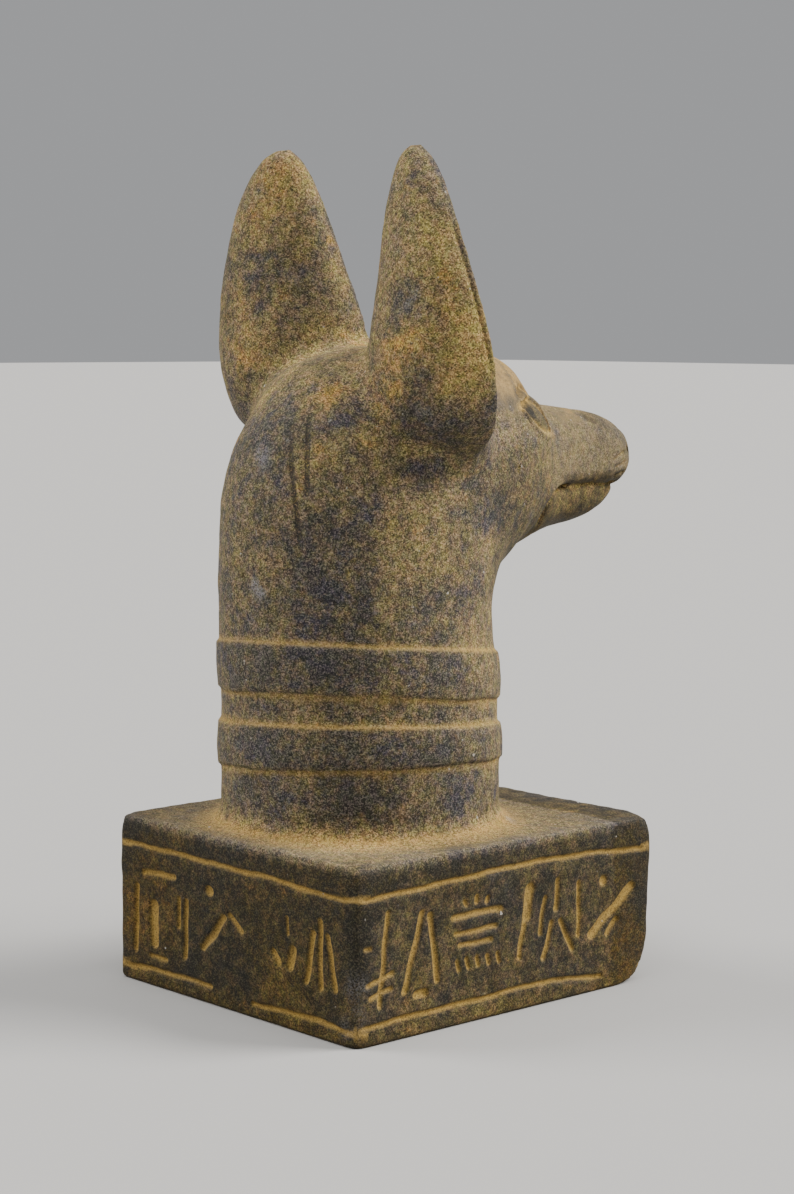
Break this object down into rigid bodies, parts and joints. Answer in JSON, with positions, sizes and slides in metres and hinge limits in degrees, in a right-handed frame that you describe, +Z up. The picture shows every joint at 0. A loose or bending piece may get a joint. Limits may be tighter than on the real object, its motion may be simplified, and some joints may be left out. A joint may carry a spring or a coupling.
{
  "type": "jackal head statue",
  "caption": "Carved stone jackal's head with tall pointed ears on a banded neck and an oblong plinth, to stand on a shelf as an ornament.",
  "frame": {"origin": "middle of the plinth's underside, on the surface it stands on", "axes": "+Z up to the ears' tips, -Y the way the muzzle points, +X the animal's left side"},
  "size_m": [0.1154, 0.1627, 0.2508],
  "materials": {
    "stone": "matt dark slate stone with a sandy ochre speckle, ochre rubbed into the carving"
  },
  "bodies": {
    "root": {"jackal_head_statue": "stone"}
  },
  "joints": []
}
